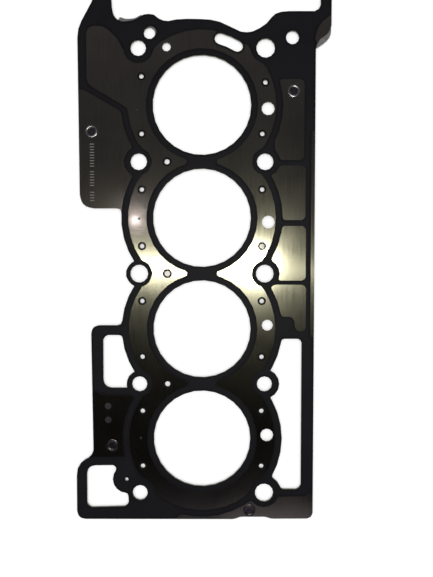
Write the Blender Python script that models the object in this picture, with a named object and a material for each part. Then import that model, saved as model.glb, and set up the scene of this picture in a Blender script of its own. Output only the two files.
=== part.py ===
"""Multi-layer steel head gasket of a four-cylinder engine, lying flat with its block side down.

X runs across the engine, Y along the row of bores and Z up through the layers. The origin is on the
underside, in the middle of the web between the second and the third bore.
"""

import math

import bmesh
import bpy
import numpy as np
from mathutils import Vector
from mathutils.geometry import delaunay_2d_cdt

# Driving sizes, in metres: the bores and the bolt rows set out everything else
BORE_OPENING = 0.0790
BORE_WEB = 0.0110
BOLT_OFFSET = 0.0114
BORE_COUNT = 4

# The stack, from the block face up
BEAD_SHEET = 0.00025
SPACER_SHEET = 0.00050
STOPPER_SHEET = 0.00010
BEAD_RISE = 0.00020
COATING = 0.00012
SEAT_GAP = 0.00002

# Full bead round each bore, and the stopper ring inside it
BEAD_CREST_OFFSET = 0.0030
BEAD_WIDTH = 0.0030
STOPPER_WIDTH = 0.0012

# Bosses and bands round the water jacket
BORE_BAND_WIDTH = 0.0055
JACKET_FIELD = 0.0146
JACKET_BAND = 0.0057
BOSS_RADIUS = 0.0108
WIDE_BOSS_RADIUS = 0.0121
END_BOSS_RADIUS = 0.0142
WEB_HALF_WIDTH = 0.0120
WEB_HALF_HEIGHT = 0.0025
GUSSET_HALF_WIDTH = 0.0450
GUSSET_HALF_HEIGHT = 0.0080
BULGE_RADIUS = 0.0115

# Holes
BOLT_HOLE = 0.0124
MID_BOLT_HOLE = 0.0134
CENTRE_BOLT_HOLE = 0.0145
DOWEL_HOLE = 0.0150
COOLANT_HOLE = 0.0038
INNER_COOLANT_HOLE = 0.0044
GAUGE_HOLE = 0.0029
VENT_HOLE = 0.0070
OIL_PASSAGE = 0.0092
COOLANT_PASSAGE = 0.0106
SLOT_WIDTH = 0.0086
SLOT_LAND = 0.0009
SLOT_LAP = 0.0007
SLOT_START_ANGLE = math.radians(58.4)
SLOT_SWEEP_ANGLE = math.radians(16.3)

# Rivets
RIVET_SHANK = 0.0052
RIVET_HEAD = 0.0092
RIVET_DISH = 0.0058
RIVET_TAIL = 0.0084
RIVET_HEAD_HEIGHT = 0.00042
RIVET_DISH_DEPTH = 0.00028
RIVET_TAIL_HEIGHT = 0.00030
RIVET_CLEARANCE = 0.00030

# Corner reaches: how far a rounded corner runs back along each side of it
FINE = 0.0012
TIGHT = 0.0025
SMALL = 0.0040
ROUND = 0.0070
BROAD = 0.0110
COATING_SLOPE = 0.00025

# Fineness of round stretches
CHORD_ERROR = 0.00024
SMALLEST_ROUND_COUNT = 8
MERGE_DISTANCE = 0.000002
SHORTEST_SIDE = 0.0003
SHARP_TURN_ANGLE = math.radians(24)
SMOOTH_ANGLE = math.radians(30)

# Sides and rows of the bolt holes: side is -1 left or 1 right, row counts bore pitches from the middle
BOLT_HOLES = (
    (-1, 2, BOLT_HOLE),
    (-1, 1, MID_BOLT_HOLE),
    (-1, 0, CENTRE_BOLT_HOLE),
    (-1, -1, BOLT_HOLE),
    (-1, -2, BOLT_HOLE),
    (1, 2, DOWEL_HOLE),
    (1, 1, MID_BOLT_HOLE),
    (1, 0, CENTRE_BOLT_HOLE),
    (1, -1, BOLT_HOLE),
    (1, -2, DOWEL_HOLE),
)

# Places in shares: x of the half bolt span, y of the bore pitch
COOLANT_SIDE_SHARE = 0.953
COOLANT_STEP_SHARE = 0.253
INNER_COOLANT_SHARE = 0.552
MOVED_COOLANT_SHARES = (0.998, 1.700)
GAUGE_HOLE_SHARES = (-1.216, -1.877)
VENT_HOLE_SHARES = (-0.556, 2.010)
PASSAGE_SHARES = (
    (-0.823, 2.130, OIL_PASSAGE),
    (1.420, 2.092, COOLANT_PASSAGE),
    (1.043, 1.470, COOLANT_PASSAGE),
    (1.053, 0.463, COOLANT_PASSAGE),
    (1.043, -0.466, OIL_PASSAGE),
    (1.041, -1.469, COOLANT_PASSAGE),
)
RIVET_SHARES = {
    "rivet_left_upper": (-1.747, 1.269),
    "rivet_right": (1.448, 1.626),
    "rivet_left_lower": (-1.448, -1.564),
    "rivet_bottom": (0.764, -2.167),
}

# Outline of the plate, clockwise from the left bay, with the reach of each corner
PLATE_SHARES = (
    (-0.90, 0.585, TIGHT),
    (-1.935, 0.585, BROAD),
    (-1.955, 2.170, ROUND),
    (-1.670, 2.460, ROUND),
    (-1.670, 2.560, TIGHT),
    (-1.430, 2.560, TIGHT),
    (-1.400, 2.235, BROAD),
    (-1.080, 2.230, BROAD),
    (-0.905, 2.303, BROAD),
    (-0.755, 2.303, BROAD),
    (-0.610, 2.218, BROAD),
    (-0.430, 2.255, BROAD),
    (0.000, 2.255, BROAD),
    (0.275, 2.240, BROAD),
    (0.630, 2.130, BROAD),
    (0.785, 2.137, BROAD),
    (1.030, 2.212, BROAD),
    (1.150, 2.322, BROAD),
    (1.860, 2.322, SMALL),
    (1.860, 2.560, TIGHT),
    (2.030, 2.560, TIGHT),
    (2.030, 2.150, SMALL),
    (1.788, 2.050, SMALL),
    (1.788, -2.240, TIGHT),
    (1.100, -2.242, TIGHT),
    (1.040, -2.224, TIGHT),
    (0.610, -2.224, TIGHT),
    (0.530, -2.246, TIGHT),
    (-2.023, -2.246, ROUND),
    (-2.023, -1.765, ROUND),
    (-1.890, -1.692, SMALL),
    (-1.750, -1.660, SMALL),
    (-1.774, -0.467, ROUND),
    (-1.150, -0.467, TIGHT),
)

# Strips of the spacer that show past the top layer: in the valley beside the top boss, under the prong
VALLEY_STRIP_SHARES = (
    (-1.295, 2.281, TIGHT),
    (-1.225, 2.258, TIGHT),
    (-1.050, 2.257, SMALL),
    (-0.950, 2.300, TIGHT),
    (-0.905, 2.270, FINE),
    (-0.905, 2.200, FINE),
    (-1.330, 2.200, FINE),
)
PRONG_STRIP_SHARES = (
    (1.780, 1.992, FINE),
    (1.965, 2.062, SMALL),
    (2.024, 2.118, TIGHT),
    (2.024, 2.220, FINE),
    (1.900, 2.220, FINE),
    (1.770, 2.120, FINE),
)

# Where the hole of the top layer over the upper oil passage runs past that of the spacer
LONG_PASSAGE_SHARES = (-0.803, 2.141)

# The three windows that lighten the plate
UPPER_WINDOW_SHARES = (
    (-1.582, -0.556, SMALL),
    (-1.080, -0.556, TIGHT),
    (-1.080, -1.035, TIGHT),
    (-1.582, -1.035, ROUND),
)
CORNER_WINDOW_SHARES = (
    (-1.858, -1.750, ROUND),
    (-1.387, -1.747, TIGHT),
    (-1.387, -1.870, TIGHT),
    (-1.202, -1.967, TIGHT),
    (-1.179, -2.126, SMALL),
    (-1.858, -2.136, SMALL),
)
SIDE_WINDOW_SHARES = (
    (1.100, -0.589, TIGHT),
    (1.592, -0.589, TIGHT),
    (1.592, -1.966, SMALL),
    (1.100, -1.966, TIGHT),
)

# Fields of the top layer that the coating leaves bare, running past the plate where they reach its edge
UPPER_TAB_SHARES = (
    (-1.815, 1.690, TIGHT),
    (-1.815, 2.190, SMALL),
    (-1.550, 2.195, SMALL),
    (-1.300, 2.075, ROUND),
    (-1.265, 1.990, SMALL),
    (-0.900, 1.900, TIGHT),
    (-0.900, 1.478, TIGHT),
    (-1.180, 1.478, TIGHT),
)
LOWER_TAB_SHARES = (
    (-2.100, 1.640, TIGHT),
    (-1.880, 1.640, TIGHT),
    (-1.260, 1.440, TIGHT),
    (-1.000, 1.440, TIGHT),
    (-1.000, 0.480, TIGHT),
    (-2.100, 0.480, TIGHT),
)
LOWER_FLANK_SHARES = (
    (-1.900, -0.985, TIGHT),
    (-1.660, -1.108, ROUND),
    (-1.000, -1.108, TIGHT),
    (-1.000, -1.670, TIGHT),
    (-1.900, -1.670, TIGHT),
)
PRONG_SHARES = (
    (1.776, 2.080, FINE),
    (1.800, 2.145, SMALL),
    (1.855, 2.214, SMALL),
    (1.980, 2.276, SMALL),
    (2.120, 2.320, FINE),
    (2.200, 2.100, FINE),
    (1.900, 1.950, FINE),
)
FOOT_SHARES = (
    (-0.420, -2.222, TIGHT),
    (0.000, -2.160, TIGHT),
    (0.800, -2.036, TIGHT),
    (1.690, -2.036, SMALL),
    (1.800, -1.975, TIGHT),
    (1.900, -1.975, TIGHT),
    (1.900, -2.300, TIGHT),
    (-0.420, -2.300, TIGHT),
)
CELL_SHARES = {
    "upper": ((1.150, 1.728, TIGHT), (1.615, 1.728, TIGHT), (1.615, 1.014, TIGHT), (1.150, 1.014, TIGHT)),
    "second": ((1.100, 0.967, TIGHT), (1.640, 0.967, TIGHT), (1.640, 0.481, TIGHT), (1.100, 0.481, TIGHT)),
    "third": ((1.000, 0.428, TIGHT), (1.650, 0.428, TIGHT), (1.650, -0.062, TIGHT), (1.000, -0.062, TIGHT)),
    "lower": (
        (1.000, -0.100, TIGHT),
        (1.656, -0.100, TIGHT),
        (1.656, -0.522, TIGHT),
        (1.497, -0.522, TIGHT),
        (1.460, -0.389, TIGHT),
        (1.000, -0.389, TIGHT),
    ),
    "margin": ((1.729, 1.278, FINE), (1.900, 1.278, FINE), (1.900, -0.578, FINE), (1.729, -0.578, FINE)),
}

BORE_PITCH = BORE_OPENING + BORE_WEB
BORE_RADIUS = BORE_OPENING / 2
BOLT_X = BORE_RADIUS + BOLT_OFFSET
BORE_BAND_RADIUS = BORE_RADIUS + BORE_BAND_WIDTH
JACKET_INNER = BORE_BAND_RADIUS + JACKET_FIELD
JACKET_OUTER = JACKET_INNER + JACKET_BAND
SLOT_RADIUS = JACKET_INNER - SLOT_LAND - SLOT_WIDTH / 2
BORE_CENTRES = [(0.0, (place - (BORE_COUNT - 1) / 2) * BORE_PITCH) for place in range(BORE_COUNT)]


# Outlines in the plane


def placed(x_share, y_share):
    """A place given by its shares of the half bolt span and of the bore pitch."""
    return np.array((x_share * BOLT_X, y_share * BORE_PITCH))


def arc(centre, radius, start, sweep):
    """Points along an arc, close enough together that each chord strays less than CHORD_ERROR."""
    step = 2 * math.acos(1 - min(CHORD_ERROR / radius, 0.5))
    finest = 2 * math.pi / SMALLEST_ROUND_COUNT
    count = math.ceil(abs(sweep) / min(step, finest))
    angles = start + sweep * np.arange(count + 1) / count
    return np.array(centre) + radius * np.stack((np.cos(angles), np.sin(angles)), axis=1)


def disc(centre, radius):
    return arc(centre, radius, 0, 2 * math.pi)[:-1]


def slot(margin=0.0):
    """The curved passage above the end bore: an arc about that bore with round ends, wider by a margin."""
    half = SLOT_WIDTH / 2 + margin
    bore = BORE_CENTRES[-1]
    far_end = SLOT_START_ANGLE + SLOT_SWEEP_ANGLE
    middle = arc(bore, SLOT_RADIUS, SLOT_START_ANGLE, SLOT_SWEEP_ANGLE)
    ends = (middle[0], middle[-1])
    return np.concatenate(
        (
            arc(bore, SLOT_RADIUS + half, SLOT_START_ANGLE, SLOT_SWEEP_ANGLE),
            arc(ends[1], half, far_end, math.pi)[1:-1],
            arc(bore, SLOT_RADIUS - half, far_end, -SLOT_SWEEP_ANGLE),
            arc(ends[0], half, SLOT_START_ANGLE + math.pi, math.pi)[1:-1],
        )
    )


def rounded(corners):
    """A polygon from rows of x share, y share and reach, with each corner turned into a curve."""
    points = np.array([placed(x_share, y_share) for x_share, y_share, reach in corners])
    outline = []
    for place, (x_share, y_share, reach) in enumerate(corners):
        corner = points[place]
        sides = (points[place - 1] - corner, points[(place + 1) % len(points)] - corner)
        start, end = (corner + side * min(0.5, reach / np.hypot(*side)) for side in sides)
        outline.append(bend(start, corner, end))
    return np.concatenate(outline)


def bend(start, corner, end):
    """Points of the parabola that leaves one side of a corner and joins the other, as fine as an arc's."""
    hollow = np.hypot(*(start - 2 * corner + end))
    count = max(2, math.ceil(math.sqrt(hollow / (8 * CHORD_ERROR))))
    turns = np.linspace(0, 1, count + 1)[:, None]
    return (1 - turns) ** 2 * start + 2 * turns * (1 - turns) * corner + turns**2 * end


def contains(outline, spots):
    """For each spot, whether a ray from it crosses an odd number of sides of the closed outline."""
    x, y = spots[:, :1], spots[:, 1:]
    after = np.roll(outline, -1, axis=0)
    spans = (outline[:, 1] > y) != (after[:, 1] > y)
    rise = np.where(after[:, 1] == outline[:, 1], 1, after[:, 1] - outline[:, 1])
    crossing = outline[:, 0] + (y - outline[:, 1]) * (after[:, 0] - outline[:, 0]) / rise
    return (spans & (x < crossing)).sum(axis=1) % 2 == 1


def triangulated(outlines):
    """Points and triangles of the plane, with every side of the outlines kept as an edge."""
    points, sides = [], []
    for outline in outlines:
        first = len(points)
        count = len(outline)
        points += [Vector(point) for point in outline]
        sides += [(first + place, first + (place + 1) % count) for place in range(count)]
    found = delaunay_2d_cdt(points, sides, [], 0, MERGE_DISTANCE)
    return np.array([tuple(point) for point in found[0]]), np.array(found[2])


def within(region, spots):
    """Whether each spot lies in a region, which is a list of outlines where inner ones are holes."""
    return np.sum([contains(outline, spots) for outline in region], axis=0) % 2 == 1


def combined(added, removed=()):
    """The region that any of the added regions covers and none of the removed ones does."""
    regions = [*added, *removed]
    points, triangles = triangulated([outline for region in regions for outline in region])
    middles = points[triangles].mean(axis=1)
    covered = np.any([within(region, middles) for region in added], axis=0)
    for region in removed:
        covered &= ~within(region, middles)
    return edge_loops(points, triangles[covered])


def edge_loops(points, triangles):
    """The closed outlines round a set of triangles, with the points in straight runs left out."""
    following = {}
    sides = {(a, b) for triangle in triangles for a, b in zip(triangle, np.roll(triangle, -1))}
    for a, b in sorted(sides):
        if (b, a) not in sides:
            following.setdefault(a, []).append(b)
    loops = []
    while following:
        first = min(following)
        loop, here = [], first
        while True:
            loop.append(here)
            here = following[here].pop()
            if not following[loop[-1]]:
                del following[loop[-1]]
            if here == first:
                break
        loops.append(straightened(points[loop]))
    return loops


def straightened(outline):
    """The outline without points that nearly repeat the one before or lie in line with neighbours."""
    back = outline - np.roll(outline, 1, axis=0)
    outline = outline[np.hypot(*back.T) > SHORTEST_SIDE]
    back = outline - np.roll(outline, 1, axis=0)
    ahead = np.roll(outline, -1, axis=0) - outline
    area = back[:, 0] * ahead[:, 1] - back[:, 1] * ahead[:, 0]
    return outline[np.abs(area) > MERGE_DISTANCE * np.hypot(*(back + ahead).T)]


def eased(region, reach):
    """The region with each sharp corner of its outlines turned into a curve of the given reach."""
    return [eased_outline(outline, reach) for outline in region]


def eased_outline(outline, reach):
    back = outline - np.roll(outline, 1, axis=0)
    ahead = np.roll(outline, -1, axis=0) - outline
    turn = np.arctan2(
        back[:, 0] * ahead[:, 1] - back[:, 1] * ahead[:, 0], (back * ahead).sum(axis=1)
    )
    sharp = np.flatnonzero(np.abs(turn) > SHARP_TURN_ANGLE)
    if not len(sharp):
        return outline
    travelled = np.concatenate(([0], np.cumsum(np.hypot(*ahead.T))))
    length = travelled[-1]
    corners = travelled[sharp]
    gaps = np.roll(corners, -1) - corners
    gaps[-1] += length
    reaches = np.minimum(reach, np.minimum(gaps, np.roll(gaps, 1)) * 0.5)
    closed = np.vstack((outline, outline[:1]))

    def along(distance):
        return np.array([np.interp(distance % length, travelled, closed[:, axis]) for axis in (0, 1)])

    pieces = []
    for place, corner in enumerate(corners):
        left = corner + reaches[place]
        pieces.append(bend(along(corner - reaches[place]), outline[sharp[place]], along(left)))
        right = corner + gaps[place] - reaches[(place + 1) % len(corners)]
        laps = np.concatenate((travelled[:-1], travelled[:-1] + length))
        kept = laps[(laps > left + MERGE_DISTANCE) & (laps < right - MERGE_DISTANCE)]
        pieces += [along(distance)[None] for distance in kept]
    joined = np.concatenate(pieces)
    steps = np.hypot(*(joined - np.roll(joined, 1, axis=0)).T)
    return joined[steps > MERGE_DISTANCE]


# Regions of the gasket


def bolt_place(side, row):
    return np.array((side * BOLT_X, row * BORE_PITCH))


def bolt_holes():
    return [disc(bolt_place(side, row), width / 2) for side, row, width in BOLT_HOLES]


def coolant_places():
    """Two small holes beside each bore on each side; the one at the top right stands nearer its bolt."""
    places = [
        np.array((side * COOLANT_SIDE_SHARE * BOLT_X, centre[1] + step * COOLANT_STEP_SHARE * BORE_PITCH))
        for centre in BORE_CENTRES
        for side in (-1, 1)
        for step in (-1, 1)
    ]
    places[-1] = placed(*MOVED_COOLANT_SHARES)
    return places


def small_holes():
    """Metering holes of the water jacket, and the gauge hole beside the corner window."""
    holes = [disc(place, COOLANT_HOLE / 2) for place in coolant_places()]
    for lower, upper in zip(BORE_CENTRES, BORE_CENTRES[1:]):
        place = (-INNER_COOLANT_SHARE * BOLT_X, (lower[1] + upper[1]) / 2)
        holes.append(disc(place, INNER_COOLANT_HOLE / 2))
    holes.append(disc(placed(*VENT_HOLE_SHARES), VENT_HOLE / 2))
    holes.append(gauge_hole())
    return holes


def gauge_hole():
    return disc(placed(*GAUGE_HOLE_SHARES), GAUGE_HOLE / 2)


def passages():
    """Oil and coolant passages."""
    return [slot(), *(disc(placed(x, y), width / 2) for x, y, width in PASSAGE_SHARES)]


def jacket(radius):
    return [[disc(centre, radius)] for centre in BORE_CENTRES]


def window(corners, *solid):
    """One window of the plate: a rounded polygon less the round edges that reach into it."""
    return eased(combined([[rounded(corners)]], [[shape] for shape in solid]), TIGHT)


def windows():
    jackets = [disc(centre, JACKET_OUTER) for centre in BORE_CENTRES]
    bulge = disc(placed(*GAUGE_HOLE_SHARES), BULGE_RADIUS)
    upper = window(UPPER_WINDOW_SHARES, jackets[1], disc(bolt_place(-1, -1), BOSS_RADIUS))
    corner = window(CORNER_WINDOW_SHARES, bulge)
    side = window(
        SIDE_WINDOW_SHARES,
        jackets[0],
        jackets[1],
        disc(bolt_place(1, -1), WIDE_BOSS_RADIUS),
        disc(bolt_place(1, -2), END_BOSS_RADIUS),
    )
    return [*upper, *corner, *side]


def plate_edge():
    """The outer edge: the rounded outline joined with the jackets and the boss of the middle bolt."""
    boss = [disc(bolt_place(-1, 0), BOSS_RADIUS)]
    return eased(combined([[rounded(PLATE_SHARES)], boss, *jacket(JACKET_OUTER)]), SMALL)


def bores():
    return [disc(centre, BORE_RADIUS) for centre in BORE_CENTRES]


def rivet_holes():
    radius = RIVET_SHANK / 2 + RIVET_CLEARANCE
    return [disc(placed(*shares), radius) for shares in RIVET_SHARES.values()]


def plate():
    """The outline less every opening that all three sheets share."""
    drilled = [*bolt_holes(), *passages(), *small_holes(), *rivet_holes()]
    return combined([plate_edge()], [[hole] for hole in [*windows(), *bores(), *drilled]])


def long_passage():
    return disc(placed(*LONG_PASSAGE_SHARES), OIL_PASSAGE / 2)


def rivet_seats():
    """The bare ground under the rivet heads."""
    radius = RIVET_HEAD / 2 + RIVET_CLEARANCE
    return [disc(placed(*shares), radius) for shares in RIVET_SHARES.values()]


def bridges(half_width, half_height):
    """A rectangle across each web between two bores."""
    corners = np.array(((-1, -1), (1, -1), (1, 1), (-1, 1))) * (half_width, half_height)
    centres = np.array(BORE_CENTRES)
    return [[corners + middle] for middle in (centres[:-1] + centres[1:]) / 2]


def bore_bands():
    """The coated ground round the bores: a band round each, joined by the webs between them."""
    webs = bridges(WEB_HALF_WIDTH, WEB_HALF_HEIGHT)
    return eased(combined([*jacket(BORE_BAND_RADIUS), *webs]), WEB_HALF_HEIGHT)


def bolt_bosses():
    """The coated ground round the bolts as the jacket meets it, wider at the four corners."""
    last = max(row for side, row, width in BOLT_HOLES)
    radii = [WIDE_BOSS_RADIUS if abs(row) == last else BOSS_RADIUS for side, row, width in BOLT_HOLES]
    return [[disc(bolt_place(*hole[:2]), radius)] for hole, radius in zip(BOLT_HOLES, radii)]


def bare_fields():
    """The open steel: the ground inside the jacket band, and the fields at the sides and the foot."""
    tab = [rounded(UPPER_TAB_SHARES)]
    gussets = bridges(GUSSET_HALF_WIDTH, GUSSET_HALF_HEIGHT)
    ring = [slot(SLOT_LAND + SLOT_LAP)]
    inner = combined([*jacket(JACKET_INNER), *gussets, tab], [*bolt_bosses(), ring])
    side_shapes = [LOWER_TAB_SHARES, LOWER_FLANK_SHARES, PRONG_SHARES, FOOT_SHARES]
    outer_shapes = [*side_shapes, *CELL_SHARES.values()]
    outer_fields = [[rounded(corners)] for corners in outer_shapes]
    wide_bosses = [[disc(bolt_place(side, row), WIDE_BOSS_RADIUS)] for side, row, width in BOLT_HOLES]
    outer = combined(outer_fields, [*jacket(JACKET_OUTER), *wide_bosses])
    return eased(inner, SMALL), eased(outer, TIGHT)


# Solids


def new_object(name, mesh_builder, material):
    """An object whose mesh is the closed body in a bmesh, shaded smooth except at its sharp edges."""
    mesh = bpy.data.meshes.new(name)
    mesh_builder.to_mesh(mesh)
    mesh_builder.free()
    mesh.shade_smooth()
    mesh.set_sharp_from_angle(angle=SMOOTH_ANGLE)
    mesh.materials.append(material)
    item = bpy.data.objects.new(name, mesh)
    bpy.context.scene.collection.objects.link(item)
    return item


def flat_body(region, low, high, creases=(), pressed=None, slope=0.0):
    """A sheet over a region, from low to high, with beads pressed in and its top edge drawn in."""
    points, triangles = triangulated([*region, *creases])
    triangles = triangles[within(region, points[triangles].mean(axis=1))]
    used, renumbered = np.unique(triangles, return_inverse=True)
    points, triangles = points[used], renumbered.reshape(-1, 3)
    lift = pressed(points) if pressed else np.zeros(len(points))
    upper = points + slope * inward(points, triangles) if slope else points
    body = bmesh.new()
    floor = [body.verts.new((x, y, low + z)) for (x, y), z in zip(points, lift)]
    roof = [body.verts.new((x, y, high + z)) for (x, y), z in zip(upper, lift)]
    for a, b, c in triangles.tolist():
        body.faces.new((roof[a], roof[b], roof[c]))
        body.faces.new((floor[c], floor[b], floor[a]))
    for a, b in free_sides(triangles):
        body.faces.new((floor[a], floor[b], roof[b], roof[a]))
    return body


def free_sides(triangles):
    """The directed sides of a set of triangles that no other triangle shares."""
    corners = triangles.tolist()
    sides = {(a, b) for triangle in corners for a, b in zip(triangle, triangle[1:] + triangle[:1])}
    return sorted(side for side in sides if side[::-1] not in sides)


def inward(points, triangles):
    """For each point on an edge, the mitred way inward for one unit of width; zero elsewhere."""
    ways = np.zeros_like(points)
    counts = np.zeros(len(points))
    for a, b in free_sides(triangles):
        along = points[b] - points[a]
        normal = np.array((-along[1], along[0])) / np.hypot(*along)
        for end in (a, b):
            ways[end] += normal
            counts[end] += 1
    lengths = np.maximum((ways**2).sum(axis=1), 1)
    return ways * (np.maximum(counts, 1) / lengths)[:, None]


def bead_circles():
    """The two feet and the crest of the full bead round each bore."""
    crest = BORE_RADIUS + BEAD_CREST_OFFSET
    radii = (crest - BEAD_WIDTH / 2, crest, crest + BEAD_WIDTH / 2)
    return [disc(centre, radius) for centre in BORE_CENTRES for radius in radii]


def bead_lift(points):
    """How far the bead is pressed out: full at its crest, falling evenly to none at its feet."""
    crest = BORE_RADIUS + BEAD_CREST_OFFSET
    reach = np.min([np.hypot(*(points - centre).T) for centre in BORE_CENTRES], axis=0)
    share = 1 - np.abs(reach - crest) / (BEAD_WIDTH / 2)
    return BEAD_RISE * np.clip(share, 0, 1)


def lathed(profile, centre):
    """A turned solid from a profile of radius and height that starts and ends on the axis."""
    body = bmesh.new()
    line = [body.verts.new((centre[0] + radius, centre[1], height)) for radius, height in profile]
    edges = [body.edges.new(pair) for pair in zip(line, line[1:])]
    bmesh.ops.spin(
        body,
        geom=[*line, *edges],
        cent=(*centre, 0),
        axis=(0, 0, 1),
        angle=2 * math.pi,
        steps=2 * SMALLEST_ROUND_COUNT,
        use_merge=True,
    )
    bmesh.ops.remove_doubles(body, verts=body.verts[:], dist=MERGE_DISTANCE)
    bmesh.ops.recalc_face_normals(body, faces=body.faces[:])
    return body


def metal(name, colour, roughness):
    return surface(name, colour, roughness, 1.0)


def surface(name, colour, roughness, metallic):
    made = bpy.data.materials.new(name)
    made.use_nodes = True
    shader = made.node_tree.nodes["Principled BSDF"]
    shader.inputs["Base Color"].default_value = (*colour, 1)
    shader.inputs["Roughness"].default_value = roughness
    shader.inputs["Metallic"].default_value = metallic
    made.diffuse_color = (*colour, 1)
    return made


# The pieces, from the block face up

BOTTOM_TOP = BEAD_SHEET
SPACER_BOTTOM = BOTTOM_TOP + BEAD_RISE + SEAT_GAP
SPACER_TOP = SPACER_BOTTOM + SPACER_SHEET
TOP_BOTTOM = SPACER_TOP + SEAT_GAP + BEAD_RISE
TOP_TOP = TOP_BOTTOM + BEAD_SHEET
COATING_TOP = TOP_TOP + COATING


def bottom_bead_layer(region, material):
    """Spring steel sheet on the block, its beads pressed up against the spacer."""
    body = flat_body(region, 0, BOTTOM_TOP, bead_circles(), bead_lift)
    return new_object("bottom_bead_layer", body, material)


def spacer_layer(region, material):
    """Thicker flat sheet that sets the height of the joint, and shows past the top layer in two strips."""
    strips = [[rounded(corners)] for corners in (VALLEY_STRIP_SHARES, PRONG_STRIP_SHARES)]
    body = flat_body(combined([region, *strips]), SPACER_BOTTOM, SPACER_TOP)
    return new_object("spacer_layer", body, material)


def stopper_rings(material):
    """Thin rings welded on the spacer at each bore's lip, so that the beads are never crushed flat."""
    for number, centre in enumerate(BORE_CENTRES, start=1):
        ring = [disc(centre, BORE_RADIUS + STOPPER_WIDTH), disc(centre, BORE_RADIUS)]
        low = SPACER_TOP + SEAT_GAP
        new_object(f"stopper_ring_{number}", flat_body(ring, low, low + STOPPER_SHEET), material)


def top_bead_layer(region, material):
    """Spring steel sheet under the head, its beads pressed down against the spacer."""
    own_region = combined([region], [[long_passage()]])
    body = flat_body(own_region, TOP_BOTTOM, TOP_TOP, bead_circles(), lambda points: -bead_lift(points))
    return new_object("top_bead_layer", body, material)


def bore_coating(material):
    """Black elastomer printed over the beads of all four bores."""
    region = combined([bore_bands()], [[hole] for hole in bores()])
    body = flat_body(region, TOP_TOP, COATING_TOP, slope=COATING_SLOPE)
    return new_object("bore_coating", body, material)


def perimeter_coating(material):
    """Black elastomer printed round the jacket, the bolts, the windows and the oil and water passages."""
    inner, outer = bare_fields()
    small = [gauge_hole(), long_passage(), *rivet_seats()]
    holes = [[outline] for outline in [*windows(), *bolt_holes(), *passages(), *small]]
    region = combined([plate_edge()], [*holes, inner, outer, *jacket(BORE_BAND_RADIUS)])
    body = flat_body(region, TOP_TOP, COATING_TOP, slope=COATING_SLOPE)
    return new_object("perimeter_coating", body, material)


def rivets(material):
    """Four rivets that hold the three sheets together, with a dished head on top and a flat tail below."""
    head, dish, shank, tail = (width / 2 for width in (RIVET_HEAD, RIVET_DISH, RIVET_SHANK, RIVET_TAIL))
    top = TOP_TOP + SEAT_GAP
    crown = top + RIVET_HEAD_HEIGHT
    rim = (head - dish) / 3
    profile = (
        (0, crown - RIVET_DISH_DEPTH),
        (dish, crown - RIVET_DISH_DEPTH),
        (dish + rim, crown),
        (head - rim / 2, crown),
        (head, crown - RIVET_HEAD_HEIGHT / 2),
        (head, top),
        (shank, top),
        (shank, -SEAT_GAP),
        (tail, -SEAT_GAP),
        (tail, -SEAT_GAP - RIVET_TAIL_HEIGHT / 2),
        (tail - rim, -SEAT_GAP - RIVET_TAIL_HEIGHT),
        (0, -SEAT_GAP - RIVET_TAIL_HEIGHT),
    )
    for name, shares in RIVET_SHARES.items():
        new_object(name, lathed(profile, placed(*shares)), material)


def build_gasket():
    for item in list(bpy.data.objects):
        bpy.data.objects.remove(item)
    region = plate()
    bottom_bead_layer(region, metal("Spring steel, lower", (0.32, 0.31, 0.28), 0.38))
    spacer_layer(region, metal("Zinc-plated steel", (0.52, 0.52, 0.50), 0.42))
    stopper_rings(metal("Stainless strip", (0.60, 0.60, 0.60), 0.35))
    top_bead_layer(region, metal("Spring steel, upper", (0.42, 0.40, 0.33), 0.34))
    bore_coating(surface("Black elastomer, bores", (0.016, 0.016, 0.018), 0.45, 0.0))
    perimeter_coating(surface("Black elastomer, perimeter", (0.016, 0.016, 0.018), 0.45, 0.0))
    rivets(metal("Bright steel", (0.70, 0.70, 0.68), 0.28))


build_gasket()
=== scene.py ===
"""Looks of a multi-layer steel head gasket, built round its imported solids.

The sections follow the gasket as it is stacked, from the block face up: the lower sheets, the stopper
rings, the top sheet with its marks, the printed elastomer, and the rivets that hold it all together.
"""

import math

import bpy
import numpy as np
from mathutils.geometry import delaunay_2d_cdt
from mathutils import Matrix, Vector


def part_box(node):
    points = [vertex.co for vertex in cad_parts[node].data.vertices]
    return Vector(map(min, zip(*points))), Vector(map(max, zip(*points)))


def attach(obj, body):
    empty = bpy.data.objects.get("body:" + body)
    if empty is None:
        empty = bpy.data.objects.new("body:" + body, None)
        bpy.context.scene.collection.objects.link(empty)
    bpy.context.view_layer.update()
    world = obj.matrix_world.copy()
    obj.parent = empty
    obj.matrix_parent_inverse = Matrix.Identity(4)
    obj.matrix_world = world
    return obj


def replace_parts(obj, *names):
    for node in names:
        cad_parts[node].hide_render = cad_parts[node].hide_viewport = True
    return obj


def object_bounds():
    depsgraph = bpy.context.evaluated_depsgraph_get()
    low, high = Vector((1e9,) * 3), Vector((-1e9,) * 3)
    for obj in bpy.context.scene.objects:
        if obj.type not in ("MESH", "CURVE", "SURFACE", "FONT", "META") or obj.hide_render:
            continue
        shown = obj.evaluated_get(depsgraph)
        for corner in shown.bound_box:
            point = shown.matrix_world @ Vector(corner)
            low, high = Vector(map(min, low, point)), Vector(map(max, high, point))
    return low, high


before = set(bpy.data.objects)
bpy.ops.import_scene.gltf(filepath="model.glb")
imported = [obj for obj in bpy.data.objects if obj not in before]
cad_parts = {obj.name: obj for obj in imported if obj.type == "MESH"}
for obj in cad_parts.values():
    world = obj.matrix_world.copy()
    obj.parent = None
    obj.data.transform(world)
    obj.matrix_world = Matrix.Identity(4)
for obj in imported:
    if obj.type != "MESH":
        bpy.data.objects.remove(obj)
cad_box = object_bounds()


# Bottom bead layer: cold-rolled spring steel 0.25 mm thick, blanked with its full beads pressed in.
# It lies on the block, so what shows of it is a rim inside the holes and the whole underside.

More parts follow.
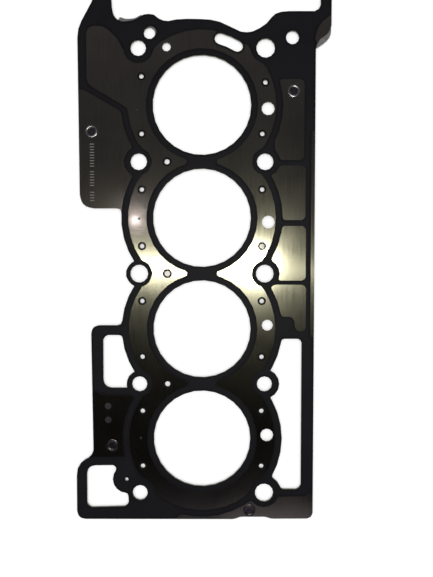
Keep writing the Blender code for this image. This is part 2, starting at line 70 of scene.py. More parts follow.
MM = 0.001
ROLL_STREAK_MM = 0.9
ROLL_STREAK_LENGTH_MM = 28.0
ROLL_DEPTH = 0.01 * MM
HANDLING_PATCH_MM = 34.0
STREAK_SHARE = 0.45
GLOSS_SPREAD = 0.02


def linear(hex_colour):
    """An sRGB hex colour as the linear values that a shader takes."""
    parts = np.array([int(hex_colour[place:place + 2], 16) for place in (1, 3, 5)]) / 255
    values = np.where(parts <= 0.04045, parts / 12.92, ((parts + 0.055) / 1.055) ** 2.4)
    return (*values.tolist(), 1.0)


def add_node(tree, kind, settings=None, **inputs):
    """One shader node with its settings, and its inputs set to values or linked to other outputs.

    An input goes by its own name, with _ for each space, or by i and its number where names repeat.
    """
    node = tree.nodes.new(kind)
    for name, value in (settings or {}).items():
        setattr(node, name, value)
    for name, value in inputs.items():
        key = int(name[1:]) if name[0] == "i" and name[1:].isdigit() else name.replace("_", " ")
        if isinstance(value, bpy.types.NodeSocket):
            tree.links.new(value, node.inputs[key])
        else:
            node.inputs[key].default_value = value
    return node


def new_material(name):
    """An empty material with its Principled shader, and that shader's node tree."""
    material = bpy.data.materials.new(name)
    material.use_nodes = True
    tree = material.node_tree
    return material, tree, tree.nodes["Principled BSDF"]


def shade(colour_ramp, stops):
    """Sets a ramp's stops from pairs of place and hex colour."""
    while len(colour_ramp.elements) > 1:
        colour_ramp.elements.remove(colour_ramp.elements[-1])
    colour_ramp.elements[0].position = stops[0][0]
    colour_ramp.elements[0].color = linear(stops[0][1])
    for place, hex_colour in stops[1:]:
        colour_ramp.elements.new(place).color = linear(hex_colour)


def rubbed_gloss(tree, place, gloss, roughness, rubbed):
    """Roughness with one rubbed patch, given by its middle, its radius and the roughness there.

    From the middle it eases up to the sheet's own roughness at the radius, and the lesser value counts.
    """
    middle, radius, smoothest = rubbed
    away = add_node(
        tree, "ShaderNodeVectorMath", {"operation": "DISTANCE"}, i0=place, i1=middle
    ).outputs["Value"]
    patch = add_node(
        tree,
        "ShaderNodeMapRange",
        {"interpolation_type": "SMOOTHSTEP"},
        Value=away,
        From_Max=radius,
        To_Min=smoothest,
        To_Max=roughness,
    ).outputs[0]
    return add_node(tree, "ShaderNodeMath", {"operation": "MINIMUM"}, i0=gloss, i1=patch).outputs[0]


def rolled_steel(name, dark, light, roughness, streak_bump, rubbed=None):
    """Cold-rolled spring steel: a satin metal whose fine rolling lines run along Y.

    The satin spreads a lamp's image into a soft glow, and patches of oil and handling shift its tint.
    Real rolling lines are about 0.05 mm apart, too fine to show, so they are drawn 0.9 mm apart.
    In a rubbed patch a lamp's image is sharper and brighter.
    """
    material, tree, shader = new_material(name)
    place = add_node(tree, "ShaderNodeTexCoord").outputs["Object"]
    lines = add_node(
        tree,
        "ShaderNodeMapping",
        Vector=place,
        Scale=(1 / (ROLL_STREAK_MM * MM), 1 / (ROLL_STREAK_LENGTH_MM * MM), 1.0),
    ).outputs[0]
    streaks = add_node(tree, "ShaderNodeTexNoise", Vector=lines, Scale=1.0, Detail=3.0).outputs[0]
    patches = add_node(
        tree, "ShaderNodeTexNoise", Vector=place, Scale=1 / (HANDLING_PATCH_MM * MM), Detail=2.0
    ).outputs[0]
    blend = add_node(
        tree, "ShaderNodeMix", {"data_type": "FLOAT"}, Factor=STREAK_SHARE, i2=patches, i3=streaks
    )
    ramp = add_node(tree, "ShaderNodeValToRGB", Fac=blend.outputs[0])
    shade(ramp.color_ramp, ((0.36, dark), (0.64, light)))
    gloss = add_node(
        tree,
        "ShaderNodeMapRange",
        Value=blend.outputs[0],
        From_Min=0.3,
        From_Max=0.7,
        To_Min=roughness - GLOSS_SPREAD,
        To_Max=roughness + GLOSS_SPREAD,
    ).outputs[0]
    if rubbed:
        gloss = rubbed_gloss(tree, place, gloss, roughness, rubbed)
    # The sheet is flat between its beads, so the lines are laid on each face's own normal
    flat = add_node(tree, "ShaderNodeNewGeometry").outputs["True Normal"]
    bump = add_node(
        tree, "ShaderNodeBump", Height=streaks, Strength=streak_bump, Distance=ROLL_DEPTH, Normal=flat
    ).outputs[0]
    shader.inputs["Metallic"].default_value = 1.0
    for socket, source in (("Base Color", ramp.outputs[0]), ("Roughness", gloss), ("Normal", bump)):
        tree.links.new(source, shader.inputs[socket])
    return material


def dress(node_name, material):
    """Gives a CAD node its finished material."""
    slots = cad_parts[node_name].data.materials
    slots.clear()
    slots.append(material)


lower_steel = rolled_steel(
    "cold-rolled spring steel, lower", "#8d8a80", "#a9a699", roughness=0.30, streak_bump=0.25
)
dress("bottom_bead_layer", lower_steel)


# Spacer: a flat sheet 0.5 mm thick that sets the height of the joint, zinc plated and left dull.
# It peeps out past the top sheet in the valley beside the top boss and under the right prong.

ZINC_SPANGLE_MM = 2.2


def zinc_plate():
    """Zinc plating: a pale matt grey with faint crystal patches, each a slightly different grey."""
    material, tree, shader = new_material("zinc plating, dull")
    place = add_node(tree, "ShaderNodeTexCoord").outputs["Object"]
    crystals = add_node(tree, "ShaderNodeTexVoronoi", Vector=place, Scale=1 / (ZINC_SPANGLE_MM * MM))
    ramp = add_node(tree, "ShaderNodeValToRGB", Fac=crystals.outputs["Color"])
    shade(ramp.color_ramp, ((0.1, "#7d7c7a"), (0.9, "#959391")))
    tree.links.new(ramp.outputs[0], shader.inputs["Base Color"])
    shader.inputs["Metallic"].default_value = 0.55
    shader.inputs["Roughness"].default_value = 0.55
    return material


dress("spacer_layer", zinc_plate())


# Stopper rings: strips of stainless steel 0.1 mm thick, welded on the spacer at the lip of each bore.
# Only their inner edge shows, as a thin bright line in the bore wall.

stainless = rolled_steel("stainless strip, satin", "#b4b3b0", "#cccbc8", roughness=0.34, streak_bump=0.15)
for number in (1, 2, 3, 4):
    dress(f"stopper_ring_{number}", stainless)


# Top bead layer: the spring steel sheet under the head, the one the photograph shows.
# It was cleaned before printing, so its open fields are a satin straw-grey with rolling lines.

SHEET_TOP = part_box("top_bead_layer")[1].z
SATIN_ROUGHNESS = 0.140
RUBBED_ROUGHNESS = 0.095
RUBBED_PLACE_MM = (-54.2, 42.7)
RUBBED_RADIUS = 8.5 * MM

rubbed_middle = (RUBBED_PLACE_MM[0] * MM, RUBBED_PLACE_MM[1] * MM, SHEET_TOP)
upper_steel = rolled_steel(
    "cold-rolled spring steel, upper",
    "#b5b194",
    "#cbc7a6",
    roughness=SATIN_ROUGHNESS,
    streak_bump=0.25,
    rubbed=(rubbed_middle, RUBBED_RADIUS, RUBBED_ROUGHNESS),
)
dress("top_bead_layer", upper_steel)


# Marks on the top sheet: a row of plain etched ticks on the tab, two round thickness marks on the flank
# and three punched dots in the ring fields. All were made by the press or the marking head.

# Each group of ticks: the Y of its first tick, and how many there are
TICK_GROUPS_MM = ((104.0, 9), (82.0, 6), (65.5, 4))
TICK_STEP_MM = 2.2
TICK_ACROSS_MM = (-90.2, -86.8)
TICK_WIDTH_MM = 0.75
TICK_RISE = 0.012 * MM
ETCH_GRAIN_MM = 0.5

scene = bpy.context.scene


def make_piece(name, points, faces, material, smooth=True):
    """A mesh object at the origin from arrays of points and faces, riding on the gasket."""
    mesh = bpy.data.meshes.new(name)
    mesh.from_pydata(points.tolist(), [], faces if isinstance(faces, list) else faces.tolist())
    mesh.materials.append(material)
    mesh.polygons.foreach_set("use_smooth", np.full(len(mesh.polygons), smooth))
    mesh.update()
    piece = bpy.data.objects.new(name, mesh)
    scene.collection.objects.link(piece)
    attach(piece, "root")
    return piece


def bars(centres, half_sizes):
    """Flat boxes: the eight corners of a unit box, scaled by the half sizes and set at each centre."""
    corner = np.array([[x, y, z] for z in (-1, 1) for y in (-1, 1) for x in (-1, 1)])
    sides = np.array([(0, 2, 3, 1), (4, 5, 7, 6), (0, 1, 5, 4), (2, 6, 7, 3), (0, 4, 6, 2), (1, 3, 7, 5)])
    points = (np.asarray(centres)[:, None] + corner * half_sizes).reshape(-1, 3)
    faces = (np.arange(len(centres))[:, None, None] * len(corner) + sides).reshape(-1, 4)
    return points, faces


def circles(radius, height, turns):
    """A circle round the Z axis for each radius and height: (radius cos turn, radius sin turn, height)."""
    angle = np.arange(turns) * 2 * math.pi / turns
    across = radius[:, None] * np.cos(angle)
    along = radius[:, None] * np.sin(angle)
    up = np.repeat(height[:, None], turns, axis=1)
    return np.stack((across, along, up), axis=2).reshape(-1, 3)


def turned(profile, centres, turns=48):
    """Turned bodies: a profile of radius and height, carried round the axis through each centre.

    Each point of the profile becomes a circle, and each point is joined to the next one along the
    profile and round the axis. Both ends of the profile are on the axis, where each is one point.
    """
    radius, height = np.array(profile[1:-1]).T
    ring = circles(radius, height, turns)
    poles = np.array([(0.0, 0.0, profile[0][1]), (0.0, 0.0, profile[-1][1])])
    body = np.concatenate((ring, poles))
    here = np.arange(turns)
    after = (here + 1) % turns
    row = np.arange(len(radius) - 1)[:, None] * turns
    next_row = row + turns
    quads = np.stack((row + here, next_row + here, next_row + after, row + after), axis=2).reshape(-1, 4)
    last = len(ring) - turns
    cap = np.stack((np.full(turns, len(ring)), here, after), axis=1)
    base = np.stack((np.full(turns, len(ring) + 1), last + after, last + here), axis=1)
    centres = np.asarray(centres)
    points = (centres[:, None] + body).reshape(-1, 3)
    faces = []
    for place in range(len(centres)):
        shift = place * len(body)
        faces += (quads + shift).tolist() + (cap + shift).tolist() + (base + shift).tolist()
    return points, faces


def etched_steel():
    """Laser-etched steel: a pale frosted oxide that stays light where the bright sheet goes dark."""
    material, tree, shader = new_material("laser-etched steel")
    place = add_node(tree, "ShaderNodeTexCoord").outputs["Object"]
    grain = add_node(tree, "ShaderNodeTexNoise", Vector=place, Scale=1 / (ETCH_GRAIN_MM * MM), Detail=2.0)
    ramp = add_node(tree, "ShaderNodeValToRGB", Fac=grain.outputs[0])
    shade(ramp.color_ramp, ((0.35, "#55534e"), (0.65, "#8a8880")))
    tree.links.new(ramp.outputs[0], shader.inputs["Base Color"])
    shader.inputs["Metallic"].default_value = 0.2
    shader.inputs["Roughness"].default_value = 0.6
    return material


tick_middle = np.mean(TICK_ACROSS_MM)
tick_half = np.array(((TICK_ACROSS_MM[1] - TICK_ACROSS_MM[0]) / 2, TICK_WIDTH_MM / 2)) * MM
tick_centres = np.array(
    [
        (tick_middle * MM, (start - step * TICK_STEP_MM) * MM, SHEET_TOP + TICK_RISE / 2)
        for start, count in TICK_GROUPS_MM
        for step in range(count)
    ]
)
etched = etched_steel()
points, faces = bars(tick_centres, (*tick_half, TICK_RISE / 2))
make_piece("etched_ticks", points, faces, etched, smooth=False)

THICKNESS_MARKS_MM = ((-76.9, -108.3), (-76.8, -119.8))
PUNCHED_DOTS_MM = ((-50.9, 44.4), (-50.2, -134.7), (-52.6, 131.7))
THICKNESS_MARK_RADIUS = 2.7 * MM
THICKNESS_MARK_RISE = 0.03 * MM
DOT_RADIUS = 1.0 * MM
DOT_RISE = 0.12 * MM
DOME_POINTS = 7


def shallow_dome(radius, rise):
    """The profile of a low round swelling: height falls from the middle as the square of the radius."""
    share = np.linspace(0, 1, DOME_POINTS)
    crown = np.stack((radius * share, rise * (1 - share**2)), axis=1)
    return np.concatenate((crown, [(0.0, 0.0)]))


def at_sheet_top(places_mm):
    """Points on the upper face of the top sheet, from their places in millimetres."""
    return np.array([(x * MM, y * MM, SHEET_TOP) for x, y in places_mm])


# Where the punch struck, the steel is rough and dull, so that it stays grey also in the glare
peened = rolled_steel("peened spring steel", "#5d5c58", "#777672", roughness=0.5, streak_bump=0.4)
mark_profile = shallow_dome(THICKNESS_MARK_RADIUS, THICKNESS_MARK_RISE)
points, faces = turned(mark_profile, at_sheet_top(THICKNESS_MARKS_MM))
make_piece("thickness_marks", points, faces, peened)
points, faces = turned(shallow_dome(DOT_RADIUS, DOT_RISE), at_sheet_top(PUNCHED_DOTS_MM), turns=24)
make_piece("punched_dots", points, faces, peened)


# Printed elastomer: black nitrile rubber, screen-printed on the top sheet round the bores, the jacket,
# the bolts and the edges, and cured. It is thin at its rim and swells over the pressed beads.

COATING_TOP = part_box("perimeter_coating")[1].z
FILM = COATING_TOP - SHEET_TOP
GRID_STEP = 1.1 * MM
GRID_CLEARANCE = 0.55 * MM
OUTLINE_STEP = 1.6 * MM
FILM_RIM_WIDTH = 0.30 * MM
FILM_RIM_SHARE = 0.45
SWELL_START = 0.5 * MM
SWELL_WIDTH = 1.7 * MM
SAME_POINT = 0.001 * MM
FILM_CLOUD_MM = 22.0
PRINT_PEEL_MM = 0.6
PRINT_PEEL_DEPTH = 0.01 * MM
# Spots are set against the sides in this many parts, so that no table of distances grows large
PARTS = 64


def welded(node_name):
    """A CAD node's points and triangles, with the points that share a place made one."""
    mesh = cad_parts[node_name].data
    places = np.empty(len(mesh.vertices) * 3)
    mesh.vertices.foreach_get("co", places)
    corners = np.empty(len(mesh.loops), dtype=int)
    mesh.loops.foreach_get("vertex_index", corners)
    keys = np.round(places.reshape(-1, 3) / SAME_POINT).astype(int)
    unique, number = np.unique(keys, axis=0, return_inverse=True)
    return unique * SAME_POINT, number.reshape(-1)[corners].reshape(-1, 3)


def outline_at(points, triangles, height):
    """The directed sides of the flat triangles at one height that no other such triangle shares."""
    level = triangles[(np.abs(points[triangles, 2] - height) < SAME_POINT * 2).all(axis=1)]
    sides = np.concatenate((level[:, (0, 1)], level[:, (1, 2)], level[:, (2, 0)]))
    forward = sides[:, 0] * len(points) + sides[:, 1]
    backward = sides[:, 1] * len(points) + sides[:, 0]
    return points[sides[~np.isin(forward, backward)], :2]


def split_sides(sides):
    """Sides cut into equal parts no longer than OUTLINE_STEP: each part starts where the last ended."""
    counts = np.ceil(np.hypot(*(sides[:, 1] - sides[:, 0]).T) / OUTLINE_STEP).astype(int)
    owner = np.repeat(np.arange(len(sides)), counts)
    first = np.repeat(np.cumsum(counts) - counts, counts)
    share = ((np.arange(len(owner)) - first) / counts[owner])[:, None]
    start = sides[owner, 0] + share * (sides[owner, 1] - sides[owner, 0])
    end = start + (sides[owner, 1] - sides[owner, 0]) / counts[owner][:, None]
    return np.stack((start, end), axis=1)


def distance_to(sides, spots):
    """For each spot, how far the nearest side is: the spot less its foot on the side, held to its ends."""
    start, way = sides[:, 0], sides[:, 1] - sides[:, 0]
    squared = (way**2).sum(axis=1)
    nearest = []
    for part in np.array_split(spots, PARTS):
        offset = part[:, None] - start
        share = np.clip((offset * way).sum(axis=2) / squared, 0, 1)
        nearest.append(np.sqrt(((offset - share[:, :, None] * way) ** 2).sum(axis=2).min(axis=1)))
    return np.concatenate(nearest)


def inside(sides, spots):
    """Whether a ray from each spot towards +X crosses an odd number of sides."""
    (x0, y0), (x1, y1) = sides[:, 0].T, sides[:, 1].T
    run = (x1 - x0) / np.where(y1 == y0, 1, y1 - y0)
    found = []
    for part in np.array_split(spots, PARTS):
        x, y = part[:, :1], part[:, 1:]
        spans = (y0 > y) != (y1 > y)
        found.append((spans & (x < x0 + (y - y0) * run)).sum(axis=1) % 2 == 1)
    return np.concatenate(found)


def hexagon_grid(low, high, step):
    """Points of an even net of triangles over a rectangle: every second row is moved by half a step."""
    rows = np.arange(low[1], high[1], step * math.sqrt(3) / 2)
    columns = np.arange(low[0], high[0], step)
    x = columns + np.where(np.arange(len(rows)) % 2, step / 2, 0)[:, None]
    return np.stack((x, np.repeat(rows[:, None], len(columns), axis=1)), axis=2).reshape(-1, 2)


def swelling(distance):
    """Film height as a share of its full height, from the distance to the rim.

    It rises at once to FILM_RIM_SHARE over the rim's width, as a quarter circle does, and then eases up to
    full height over the pressed bead beneath.
    """
    rim = np.clip(distance / FILM_RIM_WIDTH, 0, 1)
    bead = np.clip((distance - SWELL_START) / SWELL_WIDTH, 0, 1)
    return FILM_RIM_SHARE * np.sqrt(1 - (1 - rim) ** 2) + (1 - FILM_RIM_SHARE) * bead**2 * (3 - 2 * bead)


def film_net(foot, shoulder):
    """Flat points and triangles that fill a coating's outline, with an even net of points inside it.

    The triangles keep to the sides of the foot and of the shoulder, and those outside the foot go.
    """
    net = hexagon_grid(foot.min(axis=(0, 1)), foot.max(axis=(0, 1)), GRID_STEP)
    net = net[inside(foot, net)]
    net = net[distance_to(foot, net) > GRID_CLEARANCE]
    given = np.concatenate((foot.reshape(-1, 2), shoulder.reshape(-1, 2), net))
    given, number = np.unique(np.round(given / SAME_POINT).astype(int), axis=0, return_inverse=True)
    number = number.reshape(-1)
    rims = number[: 2 * (len(foot) + len(shoulder))].reshape(-1, 2)
    # The net is worked out in millimetres, where its smallest gap is far above the solver's own limit
    found = delaunay_2d_cdt((given * SAME_POINT / MM).tolist(), rims.tolist(), [], 0, SAME_POINT / MM)
    flat = np.array(found[0]) * MM
    corners = np.array(found[2])
    return flat, corners[inside(foot, flat[corners].mean(axis=1))]


def film_body(node_name):
    """Points, faces and core shares of the printed film that stands for a CAD coating.

    Each point of the film's net is lifted by the swelling for its distance to the rim, and the
    underside is flat on the sheet. A core share is that lift, from 0 at the rim to 1.
    """
    points, triangles = welded(node_name)
    foot = split_sides(outline_at(points, triangles, SHEET_TOP))
    shoulder = split_sides(outline_at(points, triangles, COATING_TOP))
    flat, corners = film_net(foot, shoulder)
    reach = distance_to(foot, flat)
    edge = reach < SAME_POINT * 2
    share = np.where(edge, 0, swelling(reach))
    roof = np.column_stack((flat, SHEET_TOP + FILM * share))
    floor = np.column_stack((flat, np.full(len(flat), SHEET_TOP)))
    below = np.where(edge, np.arange(len(flat)), np.arange(len(flat)) + len(flat))
    body = np.concatenate((roof, floor))
    faces = np.concatenate((corners, below[corners][:, ::-1]))
    core = np.concatenate((share, np.zeros(len(flat))))
    used, numbers = np.unique(faces, return_inverse=True)
    return body[used], numbers.reshape(-1, 3), core[used]


def printed_film(name, body, faces, core, material):
    """A film piece whose core shares are kept as an attribute for its material."""
    piece = make_piece(name, body, faces, material)
    piece.data.attributes.new("core", "FLOAT", "POINT").data.foreach_set("value", core)
    return piece


def printed_elastomer():
    """Screen-printed nitrile: near black, slightly blue, with an eggshell gloss.

    It is painted lighter over the swollen core than at the thin rim, as a painted highlight on the swell,
    and the print mesh leaves a fine orange peel. Real mesh marks are 0.1 mm apart, and are drawn 0.6 mm
    apart so that they show.
    """
    material, tree, shader = new_material("screen-printed nitrile rubber")
    place = add_node(tree, "ShaderNodeTexCoord").outputs["Object"]
    # Painted highlight: the core share paints the swollen core lighter than the thin rim, mixed with real
    # clouds of tone
    core = add_node(tree, "ShaderNodeAttribute", {"attribute_name": "core"}).outputs["Fac"]
    clouds = add_node(
        tree, "ShaderNodeTexNoise", Vector=place, Scale=1 / (FILM_CLOUD_MM * MM), Detail=3.0
    ).outputs[0]
    highlight_and_clouds = add_node(tree, "ShaderNodeMix", {"data_type": "FLOAT"}, Factor=0.35, i2=core, i3=clouds)
    ramp = add_node(tree, "ShaderNodeValToRGB", Fac=highlight_and_clouds.outputs[0])
    shade(ramp.color_ramp, ((0.15, "#0a0a0c"), (0.62, "#0f0f12"), (0.9, "#151518")))
    peel = add_node(
        tree, "ShaderNodeTexNoise", Vector=place, Scale=1 / (PRINT_PEEL_MM * MM), Detail=2.0
    ).outputs[0]
    bump = add_node(tree, "ShaderNodeBump", Height=peel, Strength=0.3, Distance=PRINT_PEEL_DEPTH).outputs[0]
    tree.links.new(ramp.outputs[0], shader.inputs["Base Color"])
    tree.links.new(bump, shader.inputs["Normal"])
    shader.inputs["Roughness"].default_value = 0.46
    shader.inputs["IOR"].default_value = 1.5
    shader.inputs["Specular IOR Level"].default_value = 0.26
    return material


rubber = printed_elastomer()
for node_name, where in (("bore_coating", "bore"), ("perimeter_coating", "perimeter")):
    body, faces, core = film_body(node_name)
    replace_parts(printed_film(f"{where}_film_upper", body, faces, core, rubber), node_name)
    # The same screen prints the underside, so the lower film is the upper one's mirror image
    mirrored = np.column_stack((body[:, :2], SHEET_TOP - body[:, 2]))
    printed_film(f"{where}_film_lower", mirrored, faces[:, ::-1], core, rubber)


# Rings of the same film round the coolant metering holes. They seal the little steps of pressure there,
# and were printed in the same pass as the bands, so they are as black and a little thinner.

BOLT_X_MM = 50.9
BORE_PITCH_MM = 90.0
# Places as shares of the bolt rows' half distance and of the bore pitch
OUTER_COOLANT_SHARES = (0.953, 0.253)
LAST_COOLANT_SHARES = (0.998, 1.700)
INNER_COOLANT_SHARE = 0.552
OUTER_COOLANT_RADIUS = 1.9 * MM
INNER_COOLANT_RADIUS = 2.2 * MM
RING_WIDTH = 1.45 * MM
RING_RISE = 0.04 * MM
RING_POINTS = 11
SHOULDER_POWER = 6


def film_rings(hole_radius, centres, turns=40):
    """Flat rings with rounded shoulders, each a closed profile carried round the axis of its centre.

    Height falls from the middle of the ring's width by the sixth power of the way to its edge.
    """
    share = np.linspace(-1, 1, RING_POINTS)
    radius = hole_radius + RING_WIDTH * (share + 1) / 2
    ring = circles(radius, RING_RISE * (1 - share**SHOULDER_POWER), turns)
    here = np.arange(turns)
    after = (here + 1) % turns
    row = np.arange(RING_POINTS)[:, None] * turns
    next_row = (row + turns) % (RING_POINTS * turns)
    quads = np.stack((row + here, next_row + here, next_row + after, row + after), axis=2).reshape(-1, 4)
    centres = np.asarray(centres)
    points = (centres[:, None] + ring).reshape(-1, 3)
    faces = (np.arange(len(centres))[:, None, None] * len(ring) + quads).reshape(-1, 4)
    return points, faces


bore_rows = (np.arange(4) - 1.5) * BORE_PITCH_MM
outer_holes = [
    (side * OUTER_COOLANT_SHARES[0] * BOLT_X_MM, row + step * OUTER_COOLANT_SHARES[1] * BORE_PITCH_MM)
    for row in bore_rows
    for side in (-1, 1)
    for step in (-1, 1)
]
# The uppermost hole on the right stands a little out of the pattern
outer_holes[-1] = (LAST_COOLANT_SHARES[0] * BOLT_X_MM, LAST_COOLANT_SHARES[1] * BORE_PITCH_MM)
web_rows = (np.arange(3) - 1) * BORE_PITCH_MM
inner_holes = [(-INNER_COOLANT_SHARE * BOLT_X_MM, row) for row in web_rows]
for holes, name, hole_radius in (
    (outer_holes, "outer_coolant_rings", OUTER_COOLANT_RADIUS),
    (inner_holes, "inner_coolant_rings", INNER_COOLANT_RADIUS),
):
    points, faces = film_rings(hole_radius, at_sheet_top(holes))
    make_piece(name, points, faces, rubber)


# Rivets: four pressed steel eyelet rivets through all three sheets. Each has a dished head, whose raised
# rim catches the light as a bright ring round a dark middle, and a flattened tail below.

# Radius and height: those of the head are over the top sheet, those of the tail over the block face
RIVET_DISH_MM = ((0.0, 0.11), (1.6, 0.10), (2.8, 0.08), (3.1, 0.10))
RIM_CREST_MM = (4.13, 0.43)
RIVET_WALL_MM = ((4.92, 0.02), (2.6, 0.02))
RIVET_TAIL_MM = ((2.6, -0.02), (4.2, -0.02), (4.2, -0.17), (4.0, -0.28), (3.7, -0.32), (0.0, -0.32))
RIM_HALF_MM = 0.75
RIM_POINTS = 13
RIM_SLOPE = 0.05
RIM_FALL_PER_MM = 0.16
# Painted shade: the heights over the top sheet between which the rivet's dish is painted darker
DISH_SHADE_FROM = 0.13 * MM
DISH_SHADE_TO = 0.28 * MM
WEAR_PATCH_MM = 1.6
WEAR_DEPTH = 0.02 * MM
SHARP_ANGLE = math.radians(40)


def dished_head():
    """The head's profile: a dish, and a raised rim that falls away from its crest on both sides.

    Its height drops by a steady slope and by a share of the square of the distance from the crest.
    """
    away = np.linspace(-RIM_HALF_MM, RIM_HALF_MM, RIM_POINTS)
    height = RIM_CREST_MM[1] - RIM_SLOPE * np.abs(away) - RIM_FALL_PER_MM * away**2
    return [*RIVET_DISH_MM, *zip(RIM_CREST_MM[0] + away, height), *RIVET_WALL_MM]


def pressed_steel(name, dark, light):
    """Pressed and plated steel: a pale smooth metal, painted darker where it is dished, as painted shade.
    """
    material, tree, shader = new_material(name)
    place = add_node(tree, "ShaderNodeTexCoord").outputs["Object"]
    wear = add_node(
        tree, "ShaderNodeTexNoise", Vector=place, Scale=1 / (WEAR_PATCH_MM * MM), Detail=3.0
    ).outputs[0]
    ramp = add_node(tree, "ShaderNodeValToRGB", Fac=wear)
    shade(ramp.color_ramp, ((0.35, dark), (0.6, light)))
    # Painted shade: low in the dish the steel is mixed towards a dark grey
    height = add_node(tree, "ShaderNodeSeparateXYZ", Vector=place).outputs["Z"]
    dished = add_node(
        tree,
        "ShaderNodeMapRange",
        Value=height,
        From_Min=SHEET_TOP + DISH_SHADE_TO,
        From_Max=SHEET_TOP + DISH_SHADE_FROM,
    ).outputs[0]
    dish_shaded = add_node(
        tree, "ShaderNodeMix", {"data_type": "RGBA"}, i0=dished, i6=ramp.outputs[0], i7=linear("#83817a")
    ).outputs[2]
    bump = add_node(tree, "ShaderNodeBump", Height=wear, Strength=0.2, Distance=WEAR_DEPTH).outputs[0]
    tree.links.new(dish_shaded, shader.inputs["Base Color"])
    tree.links.new(bump, shader.inputs["Normal"])
    shader.inputs["Metallic"].default_value = 1.0
    shader.inputs["Roughness"].default_value = 0.24
    return material


# A lit copy and a shaded copy of the same pressed steel
lit_rivet_steel = pressed_steel("bright pressed steel", "#cbcac1", "#f2f1e8")
# The two rivets of the lower end take a darker copy of the same steel, as painted shade
shaded_rivet_steel = pressed_steel("pressed steel, painted shade", "#74736a", "#8c8b84")
for node_name, rivet_steel in (
    ("rivet_left_upper", lit_rivet_steel),
    ("rivet_right", lit_rivet_steel),
    ("rivet_left_lower", shaded_rivet_steel),
    ("rivet_bottom", shaded_rivet_steel),
):
    low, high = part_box(node_name)
    middle = np.array(((low.x + high.x) / 2, (low.y + high.y) / 2, 0.0))
    head = [(radius * MM, SHEET_TOP + height * MM) for radius, height in dished_head()]
    tail = [(radius * MM, height * MM) for radius, height in RIVET_TAIL_MM]
    points, faces = turned(head + tail, [middle])
    rivet = make_piece(f"{node_name}_turned", points, faces, rivet_steel)
    rivet.data.set_sharp_from_angle(angle=SHARP_ANGLE)
    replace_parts(rivet, node_name)


# Floor, room and lamps: a pale table in a room with pale walls and a dark ceiling. Lamps hang in a row
# over the middle, and the satin steel blurs their images into the bright belt across the middle bores.
# A small lamp to the left makes the glare on the jacket, and a dim one far off lights the foot.

FLOOR_HALF = 3.0
FLOOR_DROP = 0.002 * MM
FLOOR_GLOW = 0.30
PURE_WHITE = (1.0, 1.0, 1.0, 1.0)


def light_path(tree, *kinds):
    """One where the ray is any of the given kinds, and zero elsewhere."""
    outputs = add_node(tree, "ShaderNodeLightPath").outputs
    total = outputs[kinds[0]]
    for kind in kinds[1:]:
        total = add_node(
            tree, "ShaderNodeMath", {"operation": "MAXIMUM"}, i0=total, i1=outputs[kind]
        ).outputs[0]
    return total


def pale_table():
    """A white table top that looks white to the eye and in reflections, and still takes a soft shadow."""
    material, tree, shader = new_material("white laminate")
    shader.inputs["Base Color"].default_value = linear("#e6e6e4")
    shader.inputs["Roughness"].default_value = 0.7
    glow = add_node(tree, "ShaderNodeEmission", Color=PURE_WHITE, Strength=FLOOR_GLOW).outputs[0]
    seen = light_path(tree, "Is Camera Ray", "Is Glossy Ray", "Is Transmission Ray")
    shown = add_node(tree, "ShaderNodeMixShader", i0=seen, i2=glow)
    both = add_node(tree, "ShaderNodeAddShader", i0=shader.outputs[0], i1=shown.outputs[0])
    tree.links.new(both.outputs[0], tree.nodes["Material Output"].inputs["Surface"])
    return material


floor_height = cad_box[0][2] - FLOOR_DROP
corner_signs = ((-1, -1), (1, -1), (1, 1), (-1, 1))
floor_points = np.array([(x * FLOOR_HALF, y * FLOOR_HALF, floor_height) for x, y in corner_signs])
floor_mesh = bpy.data.meshes.new("floor")
floor_mesh.from_pydata(floor_points.tolist(), [], [(0, 1, 2, 3)])
floor_mesh.materials.append(pale_table())
floor = bpy.data.objects.new("floor", floor_mesh)
scene.collection.objects.link(floor)

# How far a ray of length one climbs where the walls begin, and where they are at their full white
WALL_TOP = 0.30
WALL_FULL = 0.06
SOFT_STRENGTH = 0.97
# The ceiling's shades from its -Y end to its +Y end, over slopes from -0.6 to 0.6
SLOPE_SPAN = 1.2
LEAST_CLIMB = 0.05
ROOM_STOPS = (
    (0.000, "#67637a"),
    (0.050, "#615e75"),
    (0.080, "#1b1b21"),
    (0.110, "#09090c"),
    (0.350, "#0b0b0e"),
    (0.430, "#202025"),
    (0.500, "#31303a"),
    (0.700, "#302f38"),
    (1.000, "#42404b"),
)


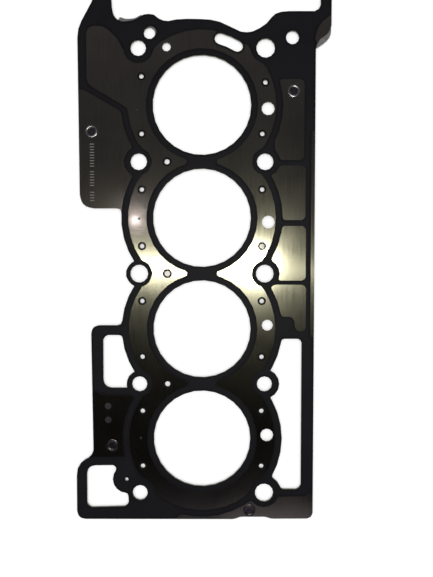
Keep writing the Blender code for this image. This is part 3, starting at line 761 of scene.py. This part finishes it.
def make_room():
    """The room by direction: white walls low down, and overhead a dim ceiling that is shaded along Y.

    The ceiling's shade is read from the slope of the ray, its Y divided by its Z, which is held above
    LEAST_CLIMB. Soft light from all sides reaches whatever scatters it, and the eye sees plain white.
    """
    world = bpy.data.worlds.new("room")
    world.use_nodes = True
    # Each ray then meets the room that is meant for its own kind
    world.cycles.sampling_method = "NONE"
    tree = world.node_tree
    tree.nodes.clear()
    way = add_node(tree, "ShaderNodeTexCoord").outputs["Generated"]
    parts = add_node(tree, "ShaderNodeSeparateXYZ", Vector=way).outputs
    climb = add_node(
        tree, "ShaderNodeMath", {"operation": "MAXIMUM"}, i0=parts["Z"], i1=LEAST_CLIMB
    ).outputs[0]
    slope = add_node(tree, "ShaderNodeMath", {"operation": "DIVIDE"}, i0=parts["Y"], i1=climb).outputs[0]
    share = add_node(
        tree, "ShaderNodeMapRange", Value=slope, From_Min=-SLOPE_SPAN / 2, From_Max=SLOPE_SPAN / 2
    ).outputs[0]
    ramp = add_node(tree, "ShaderNodeValToRGB", Fac=share)
    shade(ramp.color_ramp, ROOM_STOPS)
    wall = add_node(
        tree, "ShaderNodeMapRange", Value=parts["Z"], From_Min=WALL_TOP, From_Max=WALL_FULL
    ).outputs[0]
    sky = add_node(
        tree, "ShaderNodeMix", {"data_type": "RGBA"}, i0=wall, i6=ramp.outputs[0], i7=linear("#f4f4f2")
    ).outputs[2]
    mirrored = add_node(tree, "ShaderNodeBackground", Color=sky, Strength=1.0).outputs[0]
    soft = add_node(
        tree, "ShaderNodeBackground", Color=linear("#fbfbfd"), Strength=SOFT_STRENGTH
    ).outputs[0]
    white = add_node(tree, "ShaderNodeBackground", Color=PURE_WHITE, Strength=1.0).outputs[0]
    is_glossy = light_path(tree, "Is Glossy Ray")
    glossy = add_node(tree, "ShaderNodeMixShader", i0=is_glossy, i1=soft, i2=mirrored)
    seen = light_path(tree, "Is Camera Ray", "Is Transmission Ray")
    result = add_node(tree, "ShaderNodeMixShader", i0=seen, i1=glossy.outputs[0], i2=white)
    output = add_node(tree, "ShaderNodeOutputWorld")
    tree.links.new(result.outputs[0], output.inputs["Surface"])
    return world


scene.world = make_room()

LAMP_HEIGHT = 1.5
LAMPS = {
    "long_lamp": {
        "place": (-0.187, 0.016),
        "spread": (0.66, 0.060),
        "turn": math.radians(-1.5),
        "power": 0.88,
        "colour": "#ffffff",
    },
    "bright_lamp": {
        "place": (0.156, 0.033),
        "spread": (0.075, 0.040),
        "turn": 0.0,
        "power": 1.12,
        "colour": "#ffffff",
    },
    "end_lamp": {
        "place": (0.316, 0.008),
        "spread": (0.21, 0.040),
        "turn": math.radians(-6),
        "power": 0.050,
        "colour": "#ffffff",
    },
    "foot_lamp": {
        "place": (0.225, -0.960),
        "spread": (0.42, 0.075),
        "turn": 0.0,
        "power": 0.0190,
        "colour": "#e4daff",
    },
    "side_lamp": {
        "place": (-0.296, 0.199),
        "spread": (0.040, 0.018),
        "turn": math.radians(58),
        "power": 0.045,
        "colour": "#e9dcff",
    },
}


def hang(name, place, spread, turn, power, colour):
    """An oval lamp overhead, facing straight down."""
    data = bpy.data.lights.new(name, "AREA")
    data.shape = "ELLIPSE"
    data.size, data.size_y = spread
    data.energy = power
    data.color = linear(colour)[:3]
    lamp = bpy.data.objects.new(name, data)
    lamp.location = (*place, LAMP_HEIGHT)
    lamp.rotation_euler = (0.0, 0.0, turn)
    scene.collection.objects.link(lamp)


for name, lamp in LAMPS.items():
    hang(name, **lamp)


# Camera: held almost level above the gasket, at the height and place from which its bolt holes fall as
# they do in the photograph. The lens gives the same spread of view.

CAMERA_PLACE = (0.012484, 0.001625, 0.406785)
CAMERA_TURN = (-0.0337245, 0.0018061, 0.0005655)
FOCAL_PIXELS = 500.0
FRAME_HEIGHT_PIXELS = 577.0
SENSOR_MM = 36.0

camera_data = bpy.data.cameras.new("camera")
camera_data.sensor_width = SENSOR_MM
camera_data.lens = FOCAL_PIXELS * SENSOR_MM / FRAME_HEIGHT_PIXELS
camera = bpy.data.objects.new("camera", camera_data)
camera.location = CAMERA_PLACE
camera.rotation_euler = CAMERA_TURN
scene.collection.objects.link(camera)
scene.camera = camera

scene.view_settings.view_transform = "Standard"
